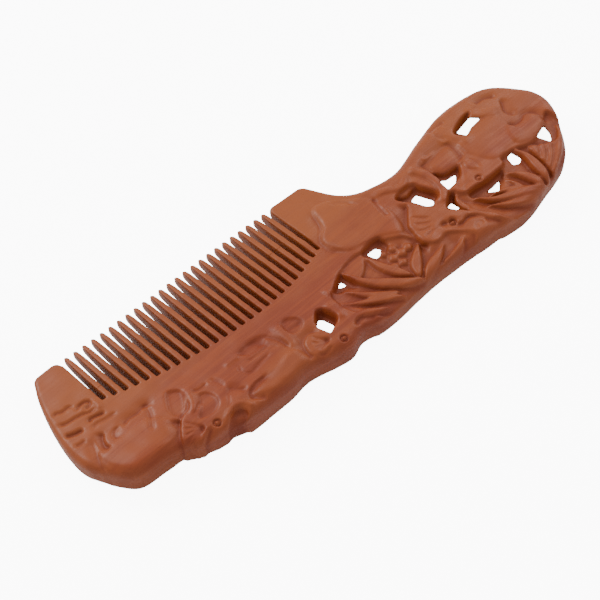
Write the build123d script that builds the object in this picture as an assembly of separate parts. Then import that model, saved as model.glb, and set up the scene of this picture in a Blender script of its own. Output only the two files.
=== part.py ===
"""Handle comb for a beard, carved from one flat blank of hardwood.

The comb lies flat: +X runs from the toe of the tooth row to the end of the handle, +Y is
the way the teeth point, and +Z is up. The origin is below the middle of the comb, on the
surface that it lies on. Shapes are laid out from a datum at the middle of the tooth row,
where the tips end, with z = 0 at mid thickness, and the last step moves them.

The comb is one piece of wood. It is divided here at the planes where its work changes, and
the regions meet face to face, so that every slot of the tooth row stays open.
"""
from build123d import *
import os

# Tooth row
TOOTH_PITCH = 3.0
TOOTH_COUNT = 25
SLOT_WIDTH = 1.35
TOOTH_WIDTH = TOOTH_PITCH - SLOT_WIDTH
ROW_HALF = TOOTH_PITCH * TOOTH_COUNT / 2
GUARD_X = ROW_HALF + SLOT_WIDTH / 2     # inner wall of each guard

# Tips end on a shallow S of this height, raised at the toe and lowered at the heel
TIP_RISE = 0.7

# Slot ends lie on a curve, deepest a little past the middle of the row: the factors of
# 1, u, u^2, u^3 and u^4, where u runs from -1 at the first slot to 1 at the last
ROOT_CURVE = (-26.6, -3.6, 5.4, 1.4, 0.8)

# Half the width of a tooth at depths measured from its tip
TOOTH_PROFILE = [(0.0, 0.22), (0.3, 0.42), (1.0, 0.54), (2.5, 0.64), (4.5, 0.72), (7.0, 0.77)]

# Half thickness of the wedge section at the tips, the roots and the back, which the handle
# shares, and the depths below the tip line at which each is reached
TIP_HALF = 1.35
ROOT_HALF = 3.4
BACK_HALF = 5.5
TIP_DEPTH = -2.0
ROOT_DEPTH = 26.0
BACK_DEPTH = 44.0

# The saddle, where the section turns from wedge to flat handle
SADDLE_START = 48.0
SADDLE_END = 66.0

# Rounding of the outer edge on the thick back and handle and on the thin guards. A rim edge
# lies on the contour, within a tolerance, and runs nearly level, so its direction has a
# small rise
BACK_ROUND = 2.8
GUARD_ROUND = 1.0
RIM_TOLERANCE = 0.05
RIM_RISE = 0.5

# Reach of the blanks that the comb is cut from
REACH = 150.0

# Outline, from the toe guard's tip round the back and the handle to the heel guard's tip
TOE_TOP = [(-GUARD_X, -1.0), (-39.6, 0.8), (-45.4, 0.8)]
TOE = [(-46.9, -0.4), (-49.5, -5.8), (-52.2, -14.0), (-54.1, -23.0), (-53.9, -30.5),
       (-49.5, -38.6), (-45.4, -42.3)]
BACK = [(-37.5, -43.0), (-32.6, -44.2), (-28.6, -46.8), (-20.6, -47.8), (-14.0, -49.6),
        (-1.0, -50.2), (7.0, -49.6), (19.5, -52.3), (26.0, -50.9), (34.5, -52.5),
        (52.0, -51.6), (64.0, -52.0), (76.0, -53.2)]
HANDLE = [(89.5, -54.7), (101.0, -52.4), (113.5, -49.2), (121.5, -41.2), (126.8, -33.0),
          (127.6, -26.5), (125.0, -20.5), (119.5, -13.8), (110.0, -11.1), (98.5, -11.2),
          (86.5, -14.2), (73.0, -17.9)]
SADDLE = [(62.0, -16.2), (56.3, -12.2), (53.4, -6.8), (51.6, -2.6)]
HEEL_TOP = [(49.6, -1.1), (39.6, -0.7), (GUARD_X, -2.2)]

# Openings pierced through the carving, each by its corners, and the wider pocket that is
# sunk round it from both faces
PIERCINGS = {
    "back": [
        [(19.0, -40.0), (21.0, -38.6), (22.0, -39.6), (22.9, -43.2), (20.4, -44.2)],
        [(32.3, -34.8), (34.8, -33.7), (35.2, -36.2)],
    ],
    "heel_guard": [
        [(46.7, -32.1), (50.2, -32.3), (51.2, -33.8), (49.4, -35.2), (47.8, -35.2)],
    ],
    "handle": [
        [(70.2, -27.6), (73.1, -26.9), (75.3, -32.2), (74.0, -33.4), (72.2, -32.3)],
        [(82.0, -28.0), (83.6, -29.4), (87.6, -29.8), (85.0, -32.1), (81.4, -32.3)],
        [(75.8, -36.8), (78.1, -36.2), (78.5, -39.5), (77.6, -39.6)],
        [(87.8, -40.9), (91.6, -40.9), (94.8, -40.4), (91.6, -43.3)],
        [(103.0, -36.3), (105.4, -35.8), (105.8, -39.5), (104.0, -40.6), (102.0, -39.5)],
        [(99.9, -18.8), (107.7, -17.3), (110.1, -20.0), (105.0, -20.5), (101.6, -21.8)],
        [(115.7, -37.1), (120.8, -35.6), (119.6, -39.2), (117.4, -41.7)],
    ],
}
POCKET_MARGIN = 0.9
POCKET_DEPTH = 2.6

# Regions between two planes across the comb, with the rounding of each one's rim
REGIONS = {
    "toe_guard": (-REACH, -GUARD_X, GUARD_ROUND),
    "back": (-GUARD_X, GUARD_X, BACK_ROUND),
    "heel_guard": (GUARD_X, SADDLE_END, GUARD_ROUND),
    "handle": (SADDLE_END, REACH, BACK_ROUND),
}


def tip_height(x):
    """Where a tooth at x ends."""
    return -TIP_RISE * (x / ROW_HALF) ** 3


def root_height(x):
    """Where a slot at x ends."""
    u = x / ROW_HALF
    return sum(factor * u**power for power, factor in enumerate(ROOT_CURVE))


def slot_places():
    """The middle of each slot, from toe to heel."""
    return [TOOTH_PITCH * index - ROW_HALF for index in range(TOOTH_COUNT + 1)]


def section(x, tip, root, back):
    """Cross-section of the blank at x, from its half thickness at the three depths."""
    rule = [(TIP_DEPTH, tip), (ROOT_DEPTH, root), (BACK_DEPTH, back), (REACH, back)]
    upper = [(x, -depth, half) for depth, half in rule]
    lower = [(x, -depth, -half) for depth, half in reversed(rule)]
    return make_face(Polyline(*upper, *lower, close=True))


def blank():
    """The tapered slab: a wedge along the tooth row that turns to a flat handle."""
    wedge = (TIP_HALF, ROOT_HALF, BACK_HALF)
    slab = (BACK_HALF, BACK_HALF, BACK_HALF)
    row = extrude(section(-REACH, *wedge), amount=REACH + SADDLE_START, dir=(1, 0, 0))
    saddle = loft([section(SADDLE_START, *wedge), section(SADDLE_END, *slab)], ruled=True)
    grip = extrude(section(SADDLE_END, *slab), amount=REACH - SADDLE_END, dir=(1, 0, 0))
    return row + saddle + grip


def contour_line():
    """The outer curve of the comb, from the toe round the back and the handle."""
    return Spline(*TOE, *BACK, *HANDLE, *SADDLE)


def outline(contour):
    """The comb seen from above without its teeth, with a square end to each slot."""
    roots = []
    for x in reversed(slot_places()):
        end = root_height(x)
        roots += [(x + SLOT_WIDTH / 2, end), (x - SLOT_WIDTH / 2, end)]
    row = Polyline(SADDLE[-1], *HEEL_TOP, *roots, *TOE_TOP, TOE[0])
    return make_face([contour, row])


def tooth_outline(x):
    """One tooth seen from above, from the slot ends beside it to its rounded point."""
    tip = tip_height(x)
    half = TOOTH_WIDTH / 2
    step = TOOTH_PITCH / 2
    right = [(x + width, tip - depth) for depth, width in TOOTH_PROFILE]
    left = [(x - width, tip - depth) for depth, width in reversed(TOOTH_PROFILE)]
    base = [(x + half, root_height(x + step)), (x - half, root_height(x - step))]
    return make_face(Polyline(*right, *base, *left, close=True))


def region(solid, low, high):
    """The part of a solid between two planes across the comb."""
    block = Box(high - low, 2 * REACH, 4 * BACK_HALF)
    return solid & (Pos((low + high) / 2, 0, 0) * block)


def pierce(solid, corners):
    """Cut one opening right through, with its pocket in each face."""
    hole = make_face(Polyline(*corners, close=True))
    pocket = offset(hole, amount=POCKET_MARGIN)
    floor = BACK_HALF - POCKET_DEPTH
    through = extrude(hole, amount=2 * BACK_HALF, both=True)
    upper = Pos(0, 0, floor) * extrude(pocket, amount=2 * BACK_HALF)
    lower = Pos(0, 0, -floor) * extrude(pocket, amount=-2 * BACK_HALF)
    return solid - through - upper - lower


def round_rim(solid, contour, radius):
    """Round the outer edge, where the wall along the contour meets the two faces."""
    def on_rim(edge):
        middle = edge @ 0.5
        near_contour = contour.distance_to(Vertex(middle.X, middle.Y, 0)) < RIM_TOLERANCE
        level = abs((edge % 0.5).Z) < RIM_RISE
        return near_contour and level and abs(middle.Z) > TIP_HALF / 2
    return fillet(solid.edges().filter_by(on_rim), radius)


def comb_regions():
    """The four regions of the blank, each rounded and pierced."""
    contour = contour_line()
    body = extrude(outline(contour), amount=BACK_HALF, both=True) & blank()
    solids = {}
    for name, (low, high, radius) in REGIONS.items():
        solid = round_rim(region(body, low, high), contour, radius)
        for corners in PIERCINGS.get(name, []):
            solid = pierce(solid, corners)
        solids[name] = solid
    return solids


def teeth():
    """All the teeth, as separate solids."""
    slab = blank()
    solids = []
    for index in range(TOOTH_COUNT):
        x = TOOTH_PITCH * (index - (TOOTH_COUNT - 1) / 2)
        solids += (extrude(tooth_outline(x), amount=BACK_HALF, both=True) & slab).solids()
    return Compound(solids)


def main():
    """Make every node, move it to the comb's own origin and write it."""
    nodes = comb_regions()
    nodes["teeth"] = teeth()
    box = Compound(list(nodes.values())).bounding_box()
    to_origin = Pos(-box.center().X, -box.center().Y, -box.min.Z)
    print("datum in the comb's frame:", to_origin.position)
    os.makedirs("parts", exist_ok=True)
    for name, solid in nodes.items():
        export_step(to_origin * solid, f"parts/{name}.step")


if __name__ == "__main__":
    main()
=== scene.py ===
import math

import bmesh
import bpy
import numpy as np
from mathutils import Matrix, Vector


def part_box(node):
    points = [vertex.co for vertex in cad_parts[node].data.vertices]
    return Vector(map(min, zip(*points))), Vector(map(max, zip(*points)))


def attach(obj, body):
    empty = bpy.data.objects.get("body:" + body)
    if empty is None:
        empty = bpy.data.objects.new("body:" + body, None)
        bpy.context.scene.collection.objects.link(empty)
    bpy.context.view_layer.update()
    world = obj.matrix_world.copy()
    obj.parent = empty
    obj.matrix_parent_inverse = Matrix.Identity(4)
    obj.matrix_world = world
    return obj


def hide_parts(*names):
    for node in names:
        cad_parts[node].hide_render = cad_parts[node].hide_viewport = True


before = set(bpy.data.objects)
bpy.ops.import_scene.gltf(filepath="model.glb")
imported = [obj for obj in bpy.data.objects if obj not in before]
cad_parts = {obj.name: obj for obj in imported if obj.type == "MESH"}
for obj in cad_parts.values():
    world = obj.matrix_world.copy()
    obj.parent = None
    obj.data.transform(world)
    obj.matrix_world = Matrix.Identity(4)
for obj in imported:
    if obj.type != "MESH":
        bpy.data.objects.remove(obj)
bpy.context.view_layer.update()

import openvdb
from mathutils import Matrix, Vector

bl_info = {
    "name": "Carved beard comb",
    "version": (1, 0, 0),
    "blender": (4, 5, 0),
    "location": "3D View > Sidebar > Comb",
    "description": "Carves a relief handle comb, with its tooth row, wood finish and stage",
    "category": "Object",
}

MM = 0.001

# How far the toe guard stands past the line of the tips
GUARD_TOP = 0.8

# The datum of the comb, in metres: the middle of the tooth row, on the line of the tips, at
# mid thickness. Shapes are laid out from it in millimetres, x towards the handle, y the way
# the teeth point.
BACK_LOW, BACK_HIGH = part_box("back")
DATUM = Vector(((BACK_LOW.x + BACK_HIGH.x) / 2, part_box("toe_guard")[1].y - GUARD_TOP * MM,
                (BACK_LOW.z + BACK_HIGH.z) / 2))

# Inner wall of each guard, half the thickness of the back, and the plane where the handle starts
GUARD_X = (BACK_HIGH.x - BACK_LOW.x) / 2 / MM
HALF_THICK = (BACK_HIGH.z - BACK_LOW.z) / 2 / MM
NECK_X = (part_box("handle")[0].x - DATUM.x) / MM

# Tooth row
TOOTH_COUNT = 25
TOOTH_PITCH = 3.0
ROW_HALF = TOOTH_PITCH * TOOTH_COUNT / 2

# Tips end on a shallow S of this height, raised at the toe and lowered at the heel
TIP_RISE = 0.7

# Slot ends lie on a curve: the factors of 1, u, u^2, u^3 and u^4, where u runs from -1 to 1
ROOT_CURVE = (-26.6, -3.6, 5.4, 1.4, 0.8)

# The plane below which the feet of the teeth belong to the back
TOOTH_SPLIT = -14.0

# Half the width of a tooth at depths below its tip
TOOTH_DEPTHS = (0.0, 0.3, 1.0, 2.5, 4.5, 7.0, 26.0)
TOOTH_HALVES = (0.22, 0.42, 0.54, 0.64, 0.72, 0.77, 0.825)

# Half thickness of the wedge section at the tips and the roots, and the depths at which the
# tips', the roots' and the back's are reached
TIP_HALF = 1.35
ROOT_HALF = 3.4
TIP_DEPTH = -2.0
ROOT_DEPTH = 26.0
BACK_DEPTH = 44.0

# Where the wedge turns into the flat handle
SADDLE = (48.0, 66.0)

# Outline of the comb from the toe guard round the back and the handle to the heel guard
TOE_TOP = [(-GUARD_X, -0.9), (-38.6, 0.2), (-39.3, 0.8), (-40.3, 1.0), (-45.6, 0.9),
           (-46.7, 0.3)]
CONTOUR = [(-47.2, -0.5), (-49.8, -5.8), (-52.5, -14.0), (-54.4, -23.0), (-54.3, -30.7),
           (-50.0, -39.0), (-45.7, -42.8), (-37.6, -43.6), (-32.8, -44.7), (-28.6, -47.2),
           (-20.6, -48.4), (-14.0, -50.1), (-1.0, -50.6), (7.0, -50.0), (19.5, -52.8),
           (26.0, -51.3), (34.5, -53.0), (52.0, -52.2), (64.0, -52.5), (76.0, -53.6),
           (89.5, -55.2), (101.0, -53.1), (113.5, -49.7), (121.8, -41.7), (127.2, -33.2),
           (127.8, -26.5), (124.6, -20.6), (119.0, -14.3), (109.8, -11.8), (98.5, -11.7),
           (86.5, -14.5), (73.0, -18.1), (62.0, -16.2), (56.4, -12.2), (53.6, -6.8),
           (51.7, -2.6)]
HEEL_TOP = [(50.6, -1.5), (49.4, -1.1), (40.0, -0.7), (38.9, -1.0), (GUARD_X, -2.0)]


# ---------------------------------------------------------------- curves and distances

def smooth(t):
    """Smooth step of t from 0 to 1."""
    t = np.clip(t, 0.0, 1.0)
    return t * t * (3.0 - 2.0 * t)


def spline(points, closed=False, steps=8):
    """Points along a Catmull-Rom curve through the given points."""
    p = np.asarray(points, float)
    if len(p) < 3 and not closed:
        return p
    if closed:
        p = np.vstack([p[-1], p, p[0], p[1]])
    else:
        p = np.vstack([2 * p[0] - p[1], p, 2 * p[-1] - p[-2]])
    t = np.linspace(0, 1, steps, endpoint=False)[:, None]
    runs = []
    for a, b, c, d in zip(p, p[1:], p[2:], p[3:]):
        runs.append(0.5 * (2 * b + (c - a) * t + (2 * a - 5 * b + 4 * c - d) * t**2
                           + (3 * b - a - 3 * c + d) * t**3))
    if closed:
        return np.vstack(runs)
    return np.vstack(runs + [p[-2:-1]])


def nearest(path, x, y):
    """Distance from each place to a path, how far along it is (0 to 1), and the side."""
    lengths = np.hypot(*np.diff(path, axis=0).T)
    reach = np.concatenate([[0.0], np.cumsum(lengths)])
    best = np.full(x.shape, np.inf)
    along = np.zeros(x.shape)
    side = np.zeros(x.shape)
    for start, end, length, passed in zip(path, path[1:], lengths, reach):
        if length == 0:
            continue
        dx, dy = (end - start) / length
        u = (x - start[0]) * dx + (y - start[1]) * dy
        s = (x - start[0]) * dy - (y - start[1]) * dx
        v = np.clip(u, 0, length)
        d = np.hypot(u - v, s)
        closer = d < best
        best = np.where(closer, d, best)
        along = np.where(closer, passed + v, along)
        side = np.where(closer, np.sign(s), side)
    return best, along / reach[-1], side


def inside(path, x, y):
    """Signed distance to a closed path, negative inside it."""
    loop = np.vstack([path, path[:1]])
    distance, _, _ = nearest(loop, x, y)
    within = np.zeros(x.shape, bool)
    for (ax, ay), (bx, by) in zip(loop, loop[1:]):
        if ay == by:
            continue
        crosses = (ay > y) != (by > y)
        within ^= crosses & (x < (bx - ax) * (y - ay) / (by - ay) + ax)
    return np.where(within, -distance, distance)


# ---------------------------------------------------------------- the carver's strokes

# How far a drawing may be moved over the face, and how steeply a standing form's side falls
GRID_LEAN = 2.5
SIDE_STEEP = 8.0


class Relief:
    """How far the carved face lies above or below the plain blank, over a grid."""

    def __init__(self, x, y, step):
        self.x = x
        self.y = y
        self.step = step
        self.level = np.zeros(x.shape)

    def window(self, points, margin):
        """The part of the grid round some points."""
        origin = (self.x[0, 0], self.y[0, 0])
        low = np.min(points, axis=0) - margin - GRID_LEAN
        high = np.max(points, axis=0) + margin + GRID_LEAN
        i0, j0 = np.maximum(((low - origin) / self.step).astype(int), 0)
        i1, j1 = np.maximum(((high - origin) / self.step).astype(int), 0) + 2
        return slice(i0, i1), slice(j0, j1)

    def area(self, points):
        """The part of the grid round a closed outline, and its distances to the outline."""
        path = spline(points, closed=True)
        w = self.window(path, 1.0)
        return w, inside(path, self.x[w], self.y[w])

    def stroke(self, points, margin, taper):
        """The part of the grid round a curve, its distances, sides and the stroke's strength."""
        path = spline(points)
        w = self.window(path, margin)
        d, t, s = nearest(path, self.x[w], self.y[w])
        ends = smooth(np.minimum(t, 1 - t) / taper) if taper else 1.0
        return w, d, s, ends

    def sink(self, points, level, soft=1.2):
        """Cut an area down to a level, with walls that take soft millimetres."""
        w, d = self.area(points)
        share = smooth(-d / soft)
        here = self.level[w]
        floor = level[w] if np.ndim(level) else level
        self.level[w] = np.where(here > floor, here + (floor - here) * share, here)

    def swell(self, points, height, soft=2.0):
        """Raise an area as a pillow, rounded over its last soft millimetres."""
        w, d = self.area(points)
        t = np.clip(-d / soft, 0, 1)
        self.level[w] += height * np.sqrt(1 - (1 - t) ** 2)

    def form(self, points, level, crown=0.5, soft=1.2):
        """Leave a rounded form standing to a level above sunk ground."""
        w, d = self.area(points)
        t = np.clip(-d / soft, 0, 1)
        top = level - crown * (1 - np.sqrt(1 - (1 - t) ** 2)) - SIDE_STEEP * np.maximum(d, 0)
        self.level[w] = np.maximum(self.level[w], np.where(d < 0.6, top, -99))

    def groove(self, points, width=0.5, depth=0.6, taper=0.15):
        """Cut a vee along a curve, thinning out at its ends."""
        w, d, _, ends = self.stroke(points, width + 0.5, taper)
        self.level[w] -= depth * ends * np.clip(1 - d / width, 0, 1) ** 1.3

    def ridge(self, points, width=1.0, height=0.5, taper=0.2):
        """Leave a rounded cord standing along a curve."""
        w, d, _, ends = self.stroke(points, width + 0.5, taper)
        self.level[w] += height * ends * np.sqrt(np.clip(1 - (d / width) ** 2, 0, 1))

    def ledge(self, points, drop=0.8, fall=3.0, side=1, edge=0.35, taper=0.2):
        """Set down the ground on one side of a curve, so that the other side stands over it."""
        w, d, s, ends = self.stroke(points, fall * 1.6, taper)
        beside = np.where(s * side > 0, d, -d)
        share = smooth((beside + edge / 2) / edge)
        share = share * np.exp(-(np.maximum(beside, 0) / fall) ** 2 * 1.5)
        self.level[w] -= drop * ends * share

    def leaf(self, points, width, level, rib=0.25, rib_width=0.28, crown=0.55, blunt=0.7):
        """A blade along a curve, pointed at its end, with a rib cut along a rounded back."""
        path = spline(points)
        w = self.window(path, width + 0.8)
        d, t, _ = nearest(path, self.x[w], self.y[w])
        half = width * np.clip(np.sin(math.pi * np.clip(t, 0, 1) ** blunt), 0.0, 1) + 0.05
        across = d / half
        top = (level - crown * np.clip(across, 0, 1.0) ** 2
               - rib * np.exp(-(d / rib_width) ** 2) - SIDE_STEEP * np.maximum(d - half, 0))
        self.level[w] = np.maximum(self.level[w], np.where(across < 1.6, top, -99))

    def eye(self, x, y, radius=0.85, ring_depth=0.75, ring_width=0.28, rise=0.2):
        """A ball in a ring-shaped groove, on a flat worked round it."""
        w = self.window([(x, y)], radius * 3)
        d = np.hypot(self.x[w] - x, self.y[w] - y)
        middle = self.level[w][np.unravel_index(np.argmin(d), d.shape)]
        share = smooth((2.2 * radius - d) / radius)
        self.level[w] += (middle - self.level[w]) * share
        self.level[w] -= ring_depth * np.exp(-((d - radius) / ring_width) ** 2)
        self.level[w] += rise * np.exp(-(d / (0.5 * radius)) ** 2)

    def blur(self):
        """Soften the whole face a little, as sanding does."""
        a = np.pad(self.level, 1, mode="edge")
        a = (a[:-2] + 2 * a[1:-1] + a[2:]) / 4
        self.level = (a[:, :-2] + 2 * a[:, 1:-1] + a[:, 2:]) / 4


# ---------------------------------------------------------------- the openings

# Openings through the carving: the corners of each at mid thickness, and of the hollow that
# is cut round it from either face, where it has one
OPENINGS = [
    ([(19.0, -40.0), (21.0, -38.6), (22.0, -39.6), (22.9, -43.2), (20.4, -44.2)],
     [(17.0, -41.6), (18.6, -39.4), (20.4, -37.9), (20.8, -37.8), (22.4, -38.5),
      (22.6, -38.8), (23.3, -42.0), (23.0, -44.6), (20.4, -45.8), (17.8, -45.6)]),
    ([(32.3, -34.8), (34.8, -33.7), (35.2, -36.2)],
     [(28.5, -36.8), (32.0, -34.2), (35.2, -32.8), (36.0, -34.0), (35.8, -38.0),
      (35.0, -40.5), (33.0, -39.2), (31.0, -38.9), (29.6, -38.2)]),
    ([(46.7, -32.1), (50.2, -32.3), (51.2, -33.8), (49.4, -35.2), (47.8, -35.2)],
     [(43.6, -33.0), (45.0, -31.8), (49.0, -31.4), (51.8, -32.3), (52.6, -35.0),
      (51.5, -37.5), (48.5, -37.5), (46.5, -38.0), (45.0, -37.8), (44.2, -35.5)]),
    ([(70.2, -27.6), (73.1, -26.9), (75.3, -32.2), (74.0, -33.4), (72.2, -32.3)],
     [(64.8, -26.5), (66.5, -25.0), (70.5, -24.8), (73.4, -25.5), (74.3, -28.0),
      (76.0, -32.0), (75.0, -34.3), (72.6, -35.0), (70.7, -35.9), (69.0, -34.3),
      (67.0, -30.5)]),
    ([(82.0, -28.0), (83.6, -29.4), (87.6, -29.8), (85.0, -32.1), (81.4, -32.3)],
     [(79.2, -27.0), (80.8, -26.0), (83.0, -27.4), (88.0, -28.7), (88.6, -30.0),
      (86.0, -33.0), (82.0, -34.6), (78.6, -34.9), (78.0, -33.3), (79.0, -30.0)]),
    ([(75.8, -36.8), (78.1, -36.2), (78.5, -39.5), (77.6, -39.6)],
     [(72.7, -39.6), (74.0, -37.4), (76.0, -36.0), (78.7, -35.4), (79.2, -38.0),
      (79.0, -41.0), (77.5, -44.0), (75.4, -43.2)]),
    ([(87.8, -40.9), (91.6, -40.9), (94.8, -40.4), (91.6, -43.3)],
     [(81.5, -39.3), (84.0, -38.7), (90.0, -39.5), (95.0, -39.4), (96.3, -40.3),
      (95.0, -42.5), (92.2, -44.0), (88.0, -45.7), (84.8, -43.9), (82.0, -41.3)]),
    ([(103.0, -36.3), (105.4, -35.8), (105.8, -39.5), (104.0, -40.6), (102.0, -39.5)], None),
    ([(99.9, -18.8), (107.7, -17.3), (110.1, -20.0), (105.0, -20.5), (101.6, -21.8)],
     [(95.6, -21.6), (97.0, -19.8), (101.0, -18.2), (105.0, -17.6), (106.4, -18.8),
      (103.0, -20.8), (99.6, -22.6), (97.4, -23.8)]),
    ([(115.7, -37.1), (120.8, -35.6), (119.6, -39.2), (117.4, -41.7)], None),
]

# Half thickness of the thin ground round the openings, how much smaller than their corners the
# openings are cut, and the rounding of their edges
OPENING_GROUND = 2.1
OPENING_TRIM = 0.05
OPENING_ROUND = 0.15

# The openings are cut on a slant, along lines that meet high up, beyond the toe and the back
SLANT_POINT = (-141.12, -203.805, 315.0)


def slant(x, y, height):
    """Where a slanting cut that passes a place at a height meets mid thickness."""
    far_x, far_y, far_z = SLANT_POINT
    return x + height * (x - far_x) / far_z, y + height * (y - far_y) / far_z


# ---------------------------------------------------------------- the four beasts

EYES = [(-22.7, -45.9), (18.9, -50.6), (70.3, -43.6), (88.0, -37.9)]


def rib_points(start, end, share, bend):
    """A rib's ends, with a point between them at a share of the way, moved aside by a bend."""
    middle = [a + (b - a) * share + c for a, b, c in zip(start, end, bend)]
    return [start, middle, end]


def cloud_scrolls(face):
    """Curled clouds on the toe guard."""
    face.groove([(-50.8, -13.0), (-49.2, -12.6), (-47.6, -13.4), (-45.8, -13.2), (-44.6, -14.4)],
                0.7, 0.5)
    face.groove([(-45.2, -16.2), (-44.0, -15.2), (-42.2, -15.0), (-40.8, -15.8), (-41.8, -17.0),
                 (-43.6, -17.1)], 0.7, 0.7)
    face.groove([(-51.6, -15.8), (-49.6, -17.0), (-47.0, -17.4), (-44.6, -17.9), (-42.4, -18.8),
                 (-40.4, -18.4)], 0.7, 0.6)
    face.groove([(-52.2, -20.0), (-50.4, -21.0), (-48.8, -21.5), (-47.4, -21.9)], 1.0, 0.9)
    face.groove([(-45.0, -21.6), (-44.2, -20.6), (-42.6, -20.8), (-41.0, -21.4), (-40.0, -21.2)],
                0.8, 0.8)
    face.groove([(-46.0, -23.6), (-44.0, -23.0), (-41.6, -23.6), (-38.0, -23.8)], 0.7, 0.45)
    face.groove([(-52.4, -24.4), (-50.8, -25.0), (-49.2, -24.8)], 0.7, 0.5)
    face.ridge([(-40.3, -16.0), (-39.8, -18.0), (-40.4, -20.2)], 0.8, 0.25)


def first_beast(face):
    """The beast at the toe: a broad rump, folded legs and a ribbed ear."""
    face.ledge([(-44.2, -26.2), (-45.6, -27.8), (-46.4, -29.8), (-46.0, -32.0)], 0.8, 2.2, 1)
    face.ledge([(-40.0, -28.0), (-41.8, -27.6), (-43.4, -28.6), (-44.0, -31.0)], 0.4, 1.6, -1)
    face.ledge([(-40.2, -29.6), (-37.6, -28.2), (-34.6, -28.6), (-32.0, -28.0), (-30.0, -29.6)],
               0.6, 2.2, -1)
    face.groove([(-32.0, -26.6), (-31.8, -28.6), (-32.6, -31.0), (-34.4, -33.8), (-35.8, -36.0)],
                1.0, 0.45)
    face.ledge([(-53.6, -31.5), (-52.9, -34.4), (-51.6, -37.2), (-50.0, -40.0)], 0.4, 2.5, 1)
    face.swell([(-50.0, -31.0), (-42.0, -31.0), (-35.0, -31.0), (-31.0, -35.0), (-31.5, -40.5),
                (-38.0, -42.0), (-47.0, -41.0)], 0.45, 3.5)
    face.ledge([(-47.6, -25.4), (-48.7, -28.4), (-49.8, -31.0), (-51.0, -33.6), (-51.4, -37.0)],
               0.4, 2.2, 1, 0.5)
    face.sink([(-26.5, -29.7), (-24.7, -28.6), (-21.9, -31.0), (-23.5, -34.6), (-25.9, -37.1),
               (-28.5, -37.9), (-28.9, -34.0)], -0.5, 0.9)
    face.sink([(-20.5, -35.6), (-18.1, -36.0), (-16.9, -38.8), (-17.8, -41.6), (-20.4, -43.2),
               (-23.3, -42.9), (-25.3, -41.4), (-22.6, -39.0)], -0.45, 0.8)
    face.ridge([(-20.8, -31.2), (-21.8, -34.4), (-23.4, -37.4), (-25.6, -39.6)], 1.1, 0.35, 0.25)
    face.ledge([(-28.2, -37.6), (-29.7, -39.6), (-31.9, -42.3), (-33.0, -44.7), (-33.2, -47.4)],
               0.8, 3.6, 1, 0.35, 0.1)
    face.groove([(-30.2, -39.8), (-28.8, -38.2), (-27.2, -37.4), (-25.0, -36.8), (-23.0, -34.6)],
                0.45, 0.7)
    face.groove([(-25.2, -40.0), (-23.2, -38.8), (-20.6, -37.4)], 0.4, 0.5)
    for tip in ((-28.4, -39.4), (-30.0, -40.8), (-31.4, -42.8), (-32.2, -44.8), (-32.3, -46.6),
                (-30.0, -47.2)):
        face.groove(rib_points(tip, (-25.6, -44.4), 0.5, (-0.4, 0.3)), 0.5, 0.5, 0.15)
    face.ledge([(-33.0, -47.6), (-30.5, -48.1), (-27.8, -46.9), (-25.4, -45.8), (-23.8, -45.6)],
               0.7, 2.2, 1)
    face.sink([(-22.4, -49.3), (-20.8, -47.6), (-18.6, -46.3), (-16.6, -45.9), (-14.9, -46.7),
               (-14.2, -48.6), (-14.8, -50.0), (-16.5, -50.6), (-19.4, -50.4)], -1.15, 1.1)
    face.ridge([(-21.0, -47.2), (-18.5, -45.8), (-16.1, -45.1), (-13.9, -46.1), (-13.0, -48.3),
                (-13.3, -50.2)], 0.75, 0.5, 0.2)
    face.ledge([(-13.4, -39.0), (-12.0, -41.0), (-10.6, -42.6), (-9.4, -43.0)], 0.35, 2.4, 1, 0.6)
    face.groove([(-20.6, -33.6), (-18.6, -34.6), (-16.0, -34.4)], 0.6, 0.5)
    face.groove([(-17.6, -44.6), (-16.0, -43.2), (-14.6, -41.4)], 0.4, 0.35)


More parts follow.
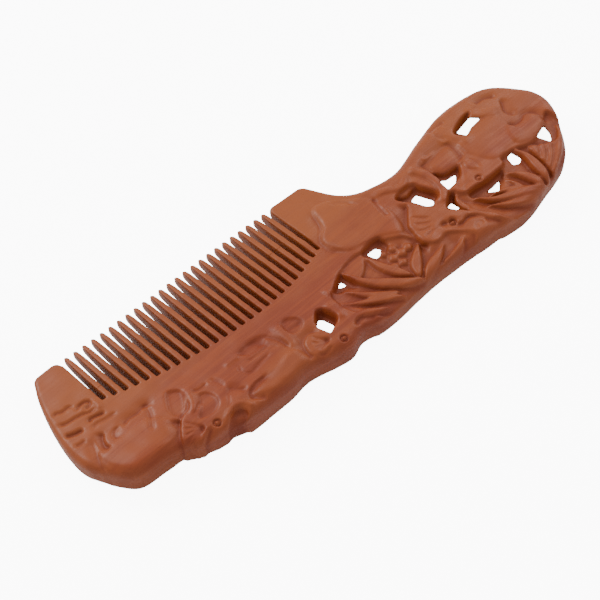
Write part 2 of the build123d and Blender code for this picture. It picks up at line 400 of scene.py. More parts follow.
def second_beast(face):
    """The beast in the middle of the back, its head bent under a rippled ear."""
    face.ledge([(-12.4, -47.8), (-11.4, -46.0), (-10.0, -44.6), (-7.0, -43.8), (-2.2, -43.6)],
               0.6, 2.2, 1, 0.4, 0.25)
    face.ledge([(-11.8, -46.4), (-10.4, -48.4), (-8.4, -49.8)], 0.5, 1.8, -1, 0.5)
    face.groove([(-4.4, -37.0), (-1.6, -37.6), (1.4, -37.6), (4.0, -37.0)], 0.8, 0.45)
    face.groove([(-6.4, -36.0), (-7.2, -38.4), (-6.0, -40.6), (-3.0, -40.2), (2.8, -39.4)],
                0.7, 0.4)
    face.sink([(-4.4, -33.0), (0.0, -32.0), (4.8, -32.6), (5.4, -35.0), (3.0, -36.8),
               (-2.6, -36.8)], -0.55, 1.6)
    face.groove([(4.8, -33.6), (5.8, -36.0), (6.7, -38.6), (6.9, -42.2)], 1.1, 0.5)
    face.ridge([(8.6, -32.6), (9.0, -36.0), (8.8, -40.6), (8.0, -44.0)], 1.5, 0.35)
    face.groove([(-13.3, -39.1), (-11.3, -41.1), (-10.4, -43.6)], 1.7, 0.3)
    face.groove([(-14.9, -34.2), (-13.8, -36.6), (-13.7, -39.0)], 1.2, 0.35)
    face.groove([(-1.7, -32.4), (1.4, -33.4), (3.6, -36.6), (5.3, -40.4)], 1.8, 0.25)
    face.ridge([(-9.4, -34.0), (-6.6, -34.0), (-3.9, -34.2)], 0.9, 0.3)
    face.sink([(10.7, -34.4), (9.8, -37.4), (10.9, -39.9), (13.6, -40.1), (15.9, -38.2),
               (15.4, -35.6), (13.0, -33.8)], -0.5, 0.9)
    face.groove([(11.0, -37.3), (13.0, -37.7), (15.2, -37.8)], 0.45, 0.45)
    face.swell([(-10.4, -46.0), (-2.0, -45.0), (6.0, -43.0), (8.4, -46.0), (6.8, -49.4),
                (-4.0, -50.2)], 0.4, 3.0)
    face.ledge([(9.4, -49.8), (9.4, -46.4), (10.8, -43.6), (13.6, -42.8), (16.0, -44.6)],
               0.6, 2.4, -1, 0.35, 0.15)
    for root in ((11.4, -48.8), (11.2, -47.0), (12.0, -45.0), (13.8, -43.6)):
        face.groove(rib_points(root, (16.4, -48.0), 0.4, (-0.96, -0.2)), 0.6, 0.55, 0.25)
    face.groove([(10.4, -49.6), (12.6, -50.4), (15.0, -50.2)], 0.6, 0.5)
    face.ledge([(23.6, -49.8), (25.7, -48.6), (27.5, -48.7), (29.5, -50.0), (31.4, -51.6)],
               0.8, 2.2, 1, 0.35)
    face.ridge([(23.8, -38.0), (24.4, -42.0), (23.2, -46.0)], 1.6, 0.35)
    face.ridge([(26.7, -34.1), (27.2, -37.5), (26.3, -42.0)], 0.8, 0.35)


def third_beast(face):
    """The big beast of the saddle, with a scalloped ear and a long curved horn."""
    face.swell([(39.4, -23.0), (40.8, -19.6), (43.8, -16.6), (45.6, -11.6), (50.0, -10.4),
                (56.0, -16.0), (60.0, -21.0), (61.0, -29.0), (58.0, -36.0), (52.0, -32.6),
                (46.0, -31.0), (41.6, -29.4)], 0.75, 2.6)
    face.ledge([(46.6, -10.2), (45.0, -15.0), (43.3, -18.6), (40.0, -21.2), (39.0, -24.7),
                (40.3, -27.1), (42.6, -29.9)], 0.6, 3.0, 1, 1.3)
    face.groove([(52.4, -13.4), (54.6, -16.6), (56.0, -20.0)], 0.7, 0.4)
    face.ledge([(50.6, -12.6), (52.4, -15.6), (55.2, -19.0)], 0.35, 2.0, -1)
    face.groove([(60.8, -20.8), (59.2, -25.6), (58.5, -29.6)], 1.0, 0.8)
    face.ledge([(66.2, -29.8), (63.2, -32.7), (60.2, -35.7), (59.6, -37.9), (59.0, -40.4),
                (58.7, -42.6), (60.2, -44.2)], 1.35, 3.0, 1, 0.3, 0.08)
    face.ridge([(60.4, -20.4), (64.2, -21.6), (67.0, -23.2), (69.6, -24.2), (72.0, -23.4),
                (73.8, -21.0)], 1.2, 0.55)
    face.form([(66.6, -30.5), (63.4, -33.1), (60.4, -35.9), (59.9, -37.9), (60.4, -39.2),
               (59.2, -40.6), (59.0, -42.5), (60.4, -43.9), (62.6, -44.0), (64.7, -42.7),
               (69.0, -41.8), (72.0, -44.4), (76.6, -44.8), (76.0, -42.6), (72.6, -39.2),
               (70.3, -35.6), (67.8, -32.7)], 0.25, 0.9, 1.2)
    for rib in ([(62.6, -33.9), (64.6, -36.2), (66.8, -38.2)],
                [(61.2, -36.2), (63.8, -38.4), (66.4, -39.6)],
                [(60.4, -39.2), (62.4, -40.2), (65.0, -40.7)],
                [(60.4, -42.2), (62.4, -42.0), (64.6, -41.6)]):
        face.groove(rib, 0.55, 0.6, 0.22)
    face.ledge([(65.4, -42.3), (68.8, -41.9), (71.6, -45.2), (75.0, -45.0), (77.4, -47.0),
                (79.2, -50.2), (82.6, -53.8)], 1.1, 2.4, 1, 0.4, 0.12)
    face.form([(71.3, -46.5), (74.3, -45.9), (77.0, -47.0), (78.1, -49.0), (77.0, -51.1),
               (74.3, -51.7), (71.6, -50.6), (70.1, -47.8)], -0.2, 0.8, 1.3)
    face.groove([(73.4, -49.6), (74.8, -48.9), (76.4, -49.4), (75.4, -50.1), (73.6, -49.8)],
                0.4, 0.5, 0.0)
    face.ridge([(75.4, -20.6), (77.2, -24.0), (78.2, -28.0), (77.8, -32.2), (75.8, -35.4),
                (73.2, -37.4)], 1.6, 0.9, 0.12)
    face.form([(66.5, -25.5), (70.0, -24.2), (74.0, -23.6), (76.4, -25.0), (77.0, -28.4),
               (75.8, -31.5), (74.4, -29.0), (72.5, -26.6), (69.0, -27.0)], -1.2, 0.7, 1.2)


def fourth_beast(face):
    """The beast of the handle, standing with its head down among the leaves."""
    face.ledge([(90.6, -16.2), (94.0, -15.6), (98.0, -16.2)], 0.6, 2.2, -1)
    face.groove([(91.4, -16.8), (92.0, -19.6), (92.4, -21.6)], 0.6, 0.5)
    face.ridge([(93.4, -16.8), (95.2, -19.4), (96.2, -23.0), (97.6, -27.4)], 2.2, 0.45)
    face.groove([(92.6, -21.4), (92.9, -25.0), (92.6, -28.6)], 0.6, 0.45)
    face.ledge([(82.2, -21.8), (85.0, -21.4), (88.6, -21.5), (92.0, -21.2)], 0.8, 1.8, -1, 0.35)
    face.sink([(79.4, -23.0), (82.4, -21.7), (92.0, -21.3), (92.4, -27.0), (90.8, -29.4),
               (86.0, -29.8), (81.0, -28.6)], -1.0, 0.7)
    face.form([(80.4, -24.8), (83.6, -22.6), (91.6, -22.2), (91.4, -27.6), (89.6, -30.0),
               (85.6, -29.8), (82.2, -28.8)], -0.4, 1.7, 3.0)
    face.ledge([(88.6, -29.4), (87.0, -30.6), (85.0, -32.6), (83.4, -34.2), (80.6, -35.6)],
               0.9, 1.6, -1)
    face.ledge([(90.2, -30.2), (88.9, -31.6), (89.0, -33.4), (90.2, -35.0), (91.2, -35.8)],
               0.5, 1.2, 1, 0.35)
    face.groove([(90.8, -30.4), (91.9, -31.6), (92.0, -33.6), (91.3, -35.6)], 0.4, 0.5)
    face.groove([(81.6, -38.2), (83.4, -37.0), (85.6, -37.0)], 0.45, 0.4)
    face.ledge([(78.2, -23.0), (79.6, -21.8), (82.2, -20.8)], 0.5, 1.8, 1)
    face.ridge([(104.8, -16.9), (106.8, -20.0), (110.0, -22.8), (113.4, -24.6)], 1.8, 0.65)
    face.groove([(79.2, -37.4), (76.8, -39.3), (76.1, -41.9), (77.5, -45.4)], 0.6, 0.6)
    face.ledge([(109.4, -18.2), (111.4, -17.8), (113.8, -18.2), (116.6, -20.3)], 1.0, 2.6, -1)
    face.ledge([(116.6, -20.6), (115.4, -22.8), (113.8, -25.0), (113.6, -27.1), (115.3, -29.6)],
               0.95, 2.8, -1)
    face.swell([(109.0, -30.4), (111.4, -32.4), (114.4, -32.8), (117.0, -31.8), (119.0, -33.4),
                (118.6, -36.4), (116.2, -37.6), (112.6, -38.6), (108.6, -38.4), (106.0, -36.0)],
               0.6, 2.6)
    face.ledge([(109.5, -29.9), (111.2, -31.6), (114.3, -32.0), (116.9, -31.0), (118.9, -31.9),
                (119.8, -34.2), (118.8, -36.7)], 1.0, 2.4, -1, 0.35, 0.1)
    face.swell([(93.0, -25.0), (99.0, -24.6), (107.0, -23.4), (111.0, -25.0), (111.0, -29.4),
                (110.0, -35.6), (103.0, -36.0), (97.0, -36.4), (94.0, -32.0)], 0.6, 4.0)


# ---------------------------------------------------------------- leaves and ground

def sunk_ground(face, depth):
    """The ground cut away behind the leaves and round the heads, less deep near the spine."""
    back = [(26.2, -38.8), (28.1, -36.4), (31.6, -35.0), (35.2, -33.0), (38.1, -32.0),
            (41.6, -31.6), (44.6, -32.2), (47.8, -32.8), (51.6, -33.5), (54.7, -35.3),
            (58.4, -38.4), (59.4, -43.0), (62.4, -45.0), (66.0, -44.4), (70.0, -47.4),
            (72.0, -51.4), (66.0, -54.4), (50.0, -54.4), (36.0, -54.4), (30.0, -51.4),
            (26.8, -45.4)]
    handle = [(76.0, -36.4), (79.4, -35.4), (82.0, -38.4), (96.0, -39.2), (98.4, -36.9),
              (103.7, -37.0), (109.7, -39.1), (116.8, -37.7), (122.6, -34.0), (124.0, -41.0),
              (117.0, -49.4), (108.0, -54.0), (98.0, -57.0), (88.0, -57.0), (82.6, -53.0),
              (80.6, -49.0), (78.0, -45.0)]
    face.sink(back, -0.9 * depth, 0.8)
    face.sink(back, -1.9 * depth, 4.5)
    face.sink(handle, -1.2 * depth, 0.9)
    face.sink(handle, -2.3 * depth, 4.5)


def back_leaves(face):
    """The spray of long leaves on the back of the comb."""
    face.form([(36.0, -33.6), (39.6, -32.3), (43.6, -32.8), (43.2, -34.8), (40.6, -37.4),
               (37.6, -38.4)], -0.9, 0.4, 0.9)
    for x, y, size in ((49.4, -40.2, 1.7), (52.4, -40.4, 1.7), (47.4, -42.8, 1.4),
                       (50.2, -43.2, 1.5), (55.0, -40.2, 1.6), (51.8, -37.4, 1.6),
                       (48.4, -37.2, 1.3)):
        berry = [(x + size * math.cos(a), y + size * math.sin(a)) for a in (0, 1.57, 3.14, 4.71)]
        face.form(berry, -0.75, 0.9, 1.4)
    face.leaf([(48.0, -48.6), (46.6, -45.6), (45.1, -41.7), (44.3, -37.2), (43.8, -33.7)],
              1.5, -0.45)
    face.leaf([(41.4, -50.1), (37.6, -47.5), (35.0, -44.8), (33.0, -41.9), (31.2, -38.5)],
              1.25, -0.6)
    face.leaf([(34.2, -51.6), (30.8, -48.9), (28.3, -45.4), (26.3, -41.2)], 0.85, -0.6)
    face.leaf([(41.6, -52.6), (37.2, -49.2), (32.5, -46.0), (29.1, -43.4), (26.4, -40.3)],
              1.15, -0.4)
    face.leaf([(49.6, -52.0), (45.4, -49.9), (41.0, -45.5), (37.5, -40.7), (36.0, -36.7),
               (35.1, -33.2)], 1.75, -0.05, rib=0.1)
    face.leaf([(35.4, -52.2), (32.6, -50.9), (29.6, -48.7), (27.0, -47.5), (24.4, -47.9),
               (22.4, -49.8)], 1.1, 0.05, rib=0.0)
    face.leaf([(49.7, -53.6), (56.7, -53.2), (63.2, -51.7), (69.8, -48.5)], 2.0, -0.45)
    face.leaf([(49.4, -52.9), (54.2, -50.2), (58.8, -48.5), (63.2, -46.8)], 1.6, -0.3)
    face.leaf([(48.8, -50.4), (51.4, -46.9), (54.7, -44.1), (58.2, -41.4)], 1.6, -0.3)


def handle_leaves(face):
    """The long blades that sweep round the end of the handle."""
    face.sink([(101.2, -45.6), (103.2, -45.2), (102.2, -48.8), (101.2, -49.2)], -2.6, 0.7)
    face.sink([(93.8, -43.0), (95.6, -44.0), (96.2, -49.4), (94.6, -48.6), (93.6, -46.0)],
              -2.5, 0.7)
    face.form([(107.6, -40.2), (110.4, -40.8), (113.0, -42.4), (116.6, -43.6), (119.6, -41.6),
               (121.6, -39.4), (120.8, -42.6), (116.6, -46.4), (111.0, -49.7), (106.0, -51.6),
               (107.0, -46.5)], -0.35, 0.5, 1.0)
    for curve in ([(111.8, -40.6), (109.8, -43.7), (105.8, -46.8)],
                  [(113.4, -42.2), (110.6, -45.8), (106.1, -48.8)],
                  [(116.4, -43.4), (112.2, -47.0), (107.7, -49.9), (103.8, -51.8)]):
        face.ledge(curve, 0.95, 1.6, 1, 0.3, 0.12)
    face.leaf([(99.8, -53.4), (95.4, -49.6), (94.9, -46.5), (94.3, -42.9)], 1.1, -0.85)
    face.leaf([(99.4, -53.4), (94.4, -48.9), (90.4, -45.6), (86.0, -43.8)], 1.3, -0.8)
    face.leaf([(98.9, -54.6), (92.8, -52.9), (87.7, -50.3), (82.2, -45.9)], 1.25, -0.45)
    face.leaf([(103.4, -52.9), (99.7, -53.1), (91.9, -49.3), (85.7, -46.1), (81.5, -41.2)],
              1.6, -0.1)
    face.leaf([(99.4, -53.6), (100.0, -50.4), (98.7, -45.7), (95.9, -41.8)], 1.5, -0.35)
    face.leaf([(102.4, -53.0), (104.1, -46.6), (104.9, -41.8), (103.9, -36.9)], 1.5, 0.05)
    face.leaf([(78.2, -44.4), (77.6, -41.6), (78.0, -38.6), (79.6, -36.4)], 1.0, -0.6)


# ---------------------------------------------------------------- the carved blank

# Least half thickness of the wood under a cut, and how far a form may stand over the blank
LEAST_HALF = 1.25
MOST_PROUD = 0.12

# How much deeper than drawn the beasts and clouds of the back are cut
DEEPEN = 1.4

# Over what distance the ground sinks to its full depth, and how far in from the edge that
# starts on the upper and on the under face; below zero is outside the edge
GROUND_FADE = 2.6
TOP_START = -1.4
UNDER_START = 0.5

# How far the upper face falls away: on the back, all over the handle, to its side and its end
BACK_LEAN = 0.4
GRIP_LEAN = 0.4
SIDE_LEAN = 0.5
END_LEAN = 0.2

# The face that the drawing was laid out on: its height at the tips, its slope and the handle's
DRAWN_TIP = 1.2
DRAWN_SLOPE = 0.095
DRAWN_GRIP = 4.6

# Rounded outer edge: its largest share of the half thickness, its least radius, and the stretch
# by the first beast where it is tighter
RIM_SHARE = 0.62
LEAST_RIM = 0.5
TIGHT_PLACE = -17.0
TIGHT_REACH = 8.0
TIGHTER = 0.4

# Rounding of the slots, the waves that hand tools leave and the seed of their directions
SLOT_ROUND = 0.14
HAND_WAVES = 28
HAND_LENGTHS = (4.5, 16.0)
HAND_SEED = 11

# Reach of the plan each way, and a distance that counts as far from every surface
PLAN_X = (-56.0, 130.0)
PLAN_Y = (-57.5, 3.0)
FAR_OFF = 9.0

# How far round a place its hollow is measured, and the share of each measure
HOLLOW_REACHES = ((0.9, 0.6), (2.6, 0.4))


def hand_waves(x, y, height):
    """The slow unevenness that a carver's knife and sanding leave."""
    rng = np.random.default_rng(HAND_SEED)
    waves = np.zeros(x.shape)
    for _ in range(HAND_WAVES):
        angle = rng.uniform(0, math.pi)
        rate = 2 * math.pi / rng.uniform(*HAND_LENGTHS)
        phase = rng.uniform(0, 2 * math.pi)
        waves += np.sin(rate * (x * math.cos(angle) + y * math.sin(angle)) + phase)
    return waves * height / math.sqrt(HAND_WAVES / 2)


def handle_share(x):
    """How far the section has turned from the wedge into the handle."""
    return smooth((x - SADDLE[0]) / (SADDLE[1] - SADDLE[0]))


def blank_half(x, y):
    """Half thickness of the plain blank: a wedge at the tooth row, a slab at the handle."""
    depth = -y
    at_teeth = np.clip((depth - TIP_DEPTH) / (ROOT_DEPTH - TIP_DEPTH), 0, 1)
    at_back = np.clip((depth - ROOT_DEPTH) / (BACK_DEPTH - ROOT_DEPTH), 0, 1)
    wedge = TIP_HALF + (ROOT_HALF - TIP_HALF) * at_teeth
    wedge += (HALF_THICK - ROOT_HALF) * at_back
    return wedge + (HALF_THICK - wedge) * handle_share(x)


def face_lean(x, y):
    """How far the upper face falls away, to the thin side and the end of the handle."""
    grip = handle_share(x)
    side = SIDE_LEAN * np.clip((y + 46.0) / 32.0, 0, 1)
    end = END_LEAN * smooth((x - 98.0) / 28.0)
    back = BACK_LEAN * smooth((-y - 38.0) / 6.0)
    return grip * (GRIP_LEAN + side + end) + (1 - grip) * back


def drawn_half(x, y):
    """Height of the face that the carver's drawing was laid out on."""
    wedge = DRAWN_TIP - DRAWN_SLOPE * y
    return wedge + (DRAWN_GRIP - wedge) * handle_share(x)


def tooth_half(depth):
    """Half the width of a tooth at a depth below its tip."""
    return np.interp(depth, TOOTH_DEPTHS, TOOTH_HALVES)


def tip_height(x):
    """How far the tips' line lies above the datum."""
    return -TIP_RISE * (x / ROW_HALF) ** 3


def root_height(x):
    """How far the slots' ends lie above the datum."""
    u = x / ROW_HALF
    return sum(factor * u**power for power, factor in enumerate(ROOT_CURVE))


def round_off(u, v, r):
    """Where two solids overlap, with their shared edge rounded to a radius."""
    u = u + r
    v = v + r
    return np.minimum(np.maximum(u, v), 0) + np.hypot(np.maximum(u, 0), np.maximum(v, 0)) - r


def carve_face(x, y, step, blank, waviness, edge, start):
    """One face of the comb as its distance from mid thickness, carved up to near its edge."""
    face = Relief(*slant(x, y, blank - drawn_half(x, y)), step)
    cloud_scrolls(face)
    first_beast(face)
    second_beast(face)
    face.level *= DEEPEN
    sunk_ground(face, smooth((edge - start) / GROUND_FADE))
    for _, hollow in OPENINGS:
        if hollow:
            face.sink(hollow, OPENING_GROUND - blank, 1.3)
    third_beast(face)
    fourth_beast(face)
    back_leaves(face)
    handle_leaves(face)
    face.level += hand_waves(x, y, waviness)
    face.blur()
    for place in EYES:
        face.eye(*place)
    return np.clip(blank + face.level, LEAST_HALF, HALF_THICK + MOST_PROUD)


def blurred(values, cells):
    """Values averaged over a square some cells each way."""
    for axis in (0, 1):
        total = np.cumsum(np.insert(values, 0, 0, axis=axis), axis=axis)
        n = values.shape[axis]
        low = np.maximum(np.arange(n) - cells, 0)
        high = np.minimum(np.arange(n) + cells + 1, n)
        shape = [1, 1]
        shape[axis] = n
        values = ((np.take(total, high, axis) - np.take(total, low, axis))
                  / (high - low).reshape(shape))
    return values


class Plan:
    """Everything about the carved blank that can be drawn on its plan."""

    def __init__(self, sizes):
        self.step = sizes.cell / MM
        self.xs = np.arange(*PLAN_X, self.step)
        self.ys = np.arange(*PLAN_Y, self.step)
        x, y = np.meshgrid(self.xs, self.ys, indexing="ij")
        blank = blank_half(x, y)
        waviness = sizes.waviness / MM
        path = np.vstack([TOE_TOP, spline(CONTOUR), HEEL_TOP])
        self.outline = inside(path, x, y)
        self.top = carve_face(x, y, self.step, blank - face_lean(x, y), waviness,
                              -self.outline, TOP_START)
        self.under = carve_face(x, y, self.step, blank, waviness, -self.outline, UNDER_START)
        tight = 1 - TIGHTER * np.exp(-((x - TIGHT_PLACE) / TIGHT_REACH) ** 2)
        self.rim = np.clip(RIM_SHARE * blank, LEAST_RIM, sizes.rim / MM * tight)
        tooth = np.abs(x - TOOTH_PITCH * np.round(np.clip(x, -ROW_HALF + 1, ROW_HALF - 1)
                                                  / TOOTH_PITCH))
        centre = TOOTH_PITCH * (np.floor(x / TOOTH_PITCH) + 0.5)
        gap = np.minimum(tooth - tooth_half(tip_height(x) - y), GUARD_X - np.abs(x))
        self.slots = np.minimum(gap, y - root_height(np.clip(centre, -ROW_HALF, ROW_HALF)))
        self.pierced = np.full(x.shape, -FAR_OFF)
        for corners, _ in OPENINGS:
            cut = -inside(np.array(corners), x, y) - OPENING_TRIM
            self.pierced = np.maximum(self.pierced, cut)
        self.hollow_top = self.hollows(self.top)
        self.hollow_under = self.hollows(self.under)

    def hollows(self, face):
        """How far each place lies below what is round it, in millimetres."""
        return sum(share * (blurred(face, int(reach / self.step)) - face)
                   for reach, share in HOLLOW_REACHES)

    def field(self, low, high):
        """Signed distance to the carved blank between two corners of the plan."""
        i = slice(*np.searchsorted(self.xs, (low[0], high[0])))
        j = slice(*np.searchsorted(self.ys, (low[1], high[1])))
        reach = math.ceil((HALF_THICK + MOST_PROUD) / self.step) + 2
        zs = self.step * np.arange(-reach, reach + 1)
        top = zs - self.top[i, j, None]
        under = -zs - self.under[i, j, None]
        skin = np.maximum(top, under).astype(np.float32)
        edge = self.outline[i, j, None].astype(np.float32)
        solid = round_off(skin, edge, self.rim[i, j, None].astype(np.float32))
        solid = round_off(solid, self.slots[i, j, None].astype(np.float32), SLOT_ROUND)
        x, y = np.meshgrid(self.xs[i], self.ys[j], indexing="ij")
        for layer, z in enumerate(zs):
            places = np.stack(slant(x, y, z), axis=-1).reshape(-1, 2)
            cut = look_up(self.pierced, self, places).reshape(x.shape)
            solid[:, :, layer] = round_off(solid[:, :, layer], cut, OPENING_ROUND)
        return solid, (self.xs[i][0], self.ys[j][0], zs[0])


def look_up(values, plan, places):
    """Values of a plan map at some places, straight between its cells."""
    u = np.clip((places[:, 0] - plan.xs[0]) / plan.step, 0, values.shape[0] - 1.001)
    v = np.clip((places[:, 1] - plan.ys[0]) / plan.step, 0, values.shape[1] - 1.001)
    i, j = u.astype(int), v.astype(int)
    a, b = u - i, v - j
    return ((values[i, j] * (1 - a) + values[i + 1, j] * a) * (1 - b)
            + (values[i, j + 1] * (1 - a) + values[i + 1, j + 1] * a) * b)


def skin_of(field, corner, step):
    """Points and four-sided faces of a field's surface, in comb millimetres."""
    grid = openvdb.FloatGrid(FAR_OFF)
    grid.copyFromArray(np.ascontiguousarray(field, dtype=np.float32))
    points, _, quads = grid.convertToPolygons(isovalue=0.0, adaptivity=0.0)
    points = np.array(points) * step + np.array(corner)
    return points, quads


def to_frame(points):
    """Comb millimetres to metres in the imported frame."""
    return np.asarray(points) * MM + np.array(DATUM)


def plane_cut(mesh, place, outward):
    """Keep what lies behind a plane, remembering the normals along the cut."""
    geometry = mesh.verts[:] + mesh.edges[:] + mesh.faces[:]
    cut = bmesh.ops.bisect_plane(mesh, geom=geometry, dist=1e-8, plane_co=place, plane_no=outward)
    seam = [v for v in cut["geom_cut"] if isinstance(v, bmesh.types.BMVert)]
    mesh.normal_update()
    layer = mesh.verts.layers.float_vector["seam"]
    for v in seam:
        v[layer] = v.normal
    place, outward = Vector(place), Vector(outward)
    beyond = [f for f in mesh.faces if (f.calc_center_median() - place).dot(outward) > 0]
    bmesh.ops.delete(mesh, geom=beyond, context="FACES")
    rim = [e for e in mesh.edges if e.is_boundary]
    caps = bmesh.ops.holes_fill(mesh, edges=rim, sides=0)["faces"]
    flat = mesh.faces.layers.int["cap"]
    for f in caps:
        f[flat] = 1
    bmesh.ops.triangulate(mesh, faces=caps)


def region_mesh(name, plan, low_x, high_x, high_y=None):
    """The part of the carved blank between two planes across the comb, as a closed mesh."""
    margin = 3 * plan.step
    low = (low_x - margin, plan.ys[0])
    high = (high_x + margin, plan.ys[-1] if high_y is None else high_y + margin)
    field, corner = plan.field(low, high)
    field = np.pad(field, 1, constant_values=2.0)
    corner = np.array(corner) - plan.step
    points, quads = skin_of(field, corner, plan.step)
    mesh = bmesh.new()
    mesh.verts.layers.float_vector.new("seam")
    mesh.faces.layers.int.new("cap")
    verts = [mesh.verts.new(p) for p in to_frame(points)]
    for a, b, c, d in quads:
        mesh.faces.new((verts[a], verts[b], verts[c], verts[d]))
    bmesh.ops.recalc_face_normals(mesh, faces=mesh.faces)
    if low_x > plan.xs[0]:
        plane_cut(mesh, to_frame((low_x, 0, 0)), (-1, 0, 0))
    if high_x < plan.xs[-1]:
        plane_cut(mesh, to_frame((high_x, 0, 0)), (1, 0, 0))
    if high_y is not None:
        plane_cut(mesh, to_frame((0, high_y, 0)), (0, 1, 0))
    return finished_region(name, mesh, plan)


def finished_region(name, mesh, plan):
    """A smooth-shaded piece with its hollows measured and its seams lit like the whole."""
    data = bpy.data.meshes.new(name)
    mesh.to_mesh(data)
    mesh.free()
    data.shade_smooth()
    count = len(data.vertices)
    places = np.empty(count * 3, np.float32)
    data.vertices.foreach_get("co", places)
    places = (places.reshape(-1, 3) - np.array(DATUM)) / MM
    upper = look_up(plan.hollow_top, plan, places)
    lower = look_up(plan.hollow_under, plan, places)
    hollow = np.where(places[:, 2] > 0, upper, lower)
    # The hollow measure sets where the wood's colour gets painted shade and painted highlight.
    attribute = data.attributes.new("hollow", "FLOAT", "POINT")
    attribute.data.foreach_set("value", hollow.astype(np.float32))
    seam = np.empty(count * 3, np.float32)
    data.attributes["seam"].data.foreach_get("vector", seam)
    cap = np.empty(len(data.polygons), np.int32)
    data.attributes["cap"].data.foreach_get("value", cap)
    corner_vertex = np.empty(len(data.loops), np.int32)
    data.loops.foreach_get("vertex_index", corner_vertex)
    normals = seam.reshape(-1, 3)[corner_vertex].copy()
    for index in np.nonzero(cap)[0]:
        polygon = data.polygons[index]
        for corner in polygon.loop_indices:
            normals[corner] = polygon.normal
    data.attributes.remove(data.attributes["seam"])
    data.attributes.remove(data.attributes["cap"])
    data.normals_split_custom_set(normals)
    piece = bpy.data.objects.new(name, data)
    bpy.context.scene.collection.objects.link(piece)
    return piece


# ---------------------------------------------------------------- the teeth

# Rounding of a tooth's corners, with its largest share of the half width
CORNER_ROUND = 0.25
CORNER_SHARE = 0.8

# Depths of the rings of points, and the share of its thickness that a tooth has near its tip
TOOTH_RINGS = (14.0, 12.0, 10.0, 8.5, 7.0, 5.5, 4.5, 3.5, 2.5, 1.6, 1.0, 0.6, 0.3, 0.1, 0.0)
TIP_TAPER_DEPTHS = (0.0, 0.4, 1.0, 2.0, 3.5)
TIP_TAPER_SHARES = (0.5, 0.74, 0.9, 0.98, 1.0)


def tooth_blank():
    """One tooth above the split, at the middle of the row, closed at both ends."""
    mesh = bmesh.new()
    rings = []
    for depth in TOOTH_RINGS:
        wide = float(tooth_half(depth))
        thick = float(blank_half(0.0, -depth)) * np.interp(depth, TIP_TAPER_DEPTHS,
                                                           TIP_TAPER_SHARES)
        corner = min(CORNER_ROUND, CORNER_SHARE * wide)
        ring = []
        for sx, sz, start in ((1, 1, 0), (-1, 1, 90), (-1, -1, 180), (1, -1, 270)):
            for turn in (0, 30, 60, 90):
                angle = math.radians(start + turn)
                place = (sx * (wide - corner) + corner * math.cos(angle), -depth,
                         sz * (thick - corner) + corner * math.sin(angle))
                ring.append(mesh.verts.new(to_frame(place)))
        rings.append(ring)
    for lower, upper in zip(rings, rings[1:]):
        for a, b, c, d in zip(lower, lower[1:] + lower[:1], upper[1:] + upper[:1], upper):
            mesh.faces.new((a, b, c, d))
    mesh.faces.new(rings[0])
    mesh.faces.new(rings[-1])
    for face in mesh.faces:
        face.smooth = len(face.verts) == 4
    bmesh.ops.recalc_face_normals(mesh, faces=mesh.faces)
    for edge in mesh.edges:
        edge.smooth = all(face.smooth for face in edge.link_faces)
    data = bpy.data.meshes.new("tooth")
    mesh.to_mesh(data)
    mesh.free()
    return data


def add_socket(tree, name, kind, default=None, subtype=None, output=False):
    """A named input or output of a node tree."""
    side = "OUTPUT" if output else "INPUT"
    socket = tree.interface.new_socket(name, in_out=side, socket_type=kind)
    if default is not None:
        socket.default_value = default
    if subtype:
        socket.subtype = subtype
    return socket


def maths(tree, operation, *values):
    """A Math node of one operation, fed with sockets or numbers."""
    node = tree.nodes.new("ShaderNodeMath")
    node.operation = operation
    for socket, value in zip(node.inputs, values):
        if isinstance(value, (int, float)):
            socket.default_value = value
        else:
            tree.links.new(value, socket)
    return node.outputs[0]


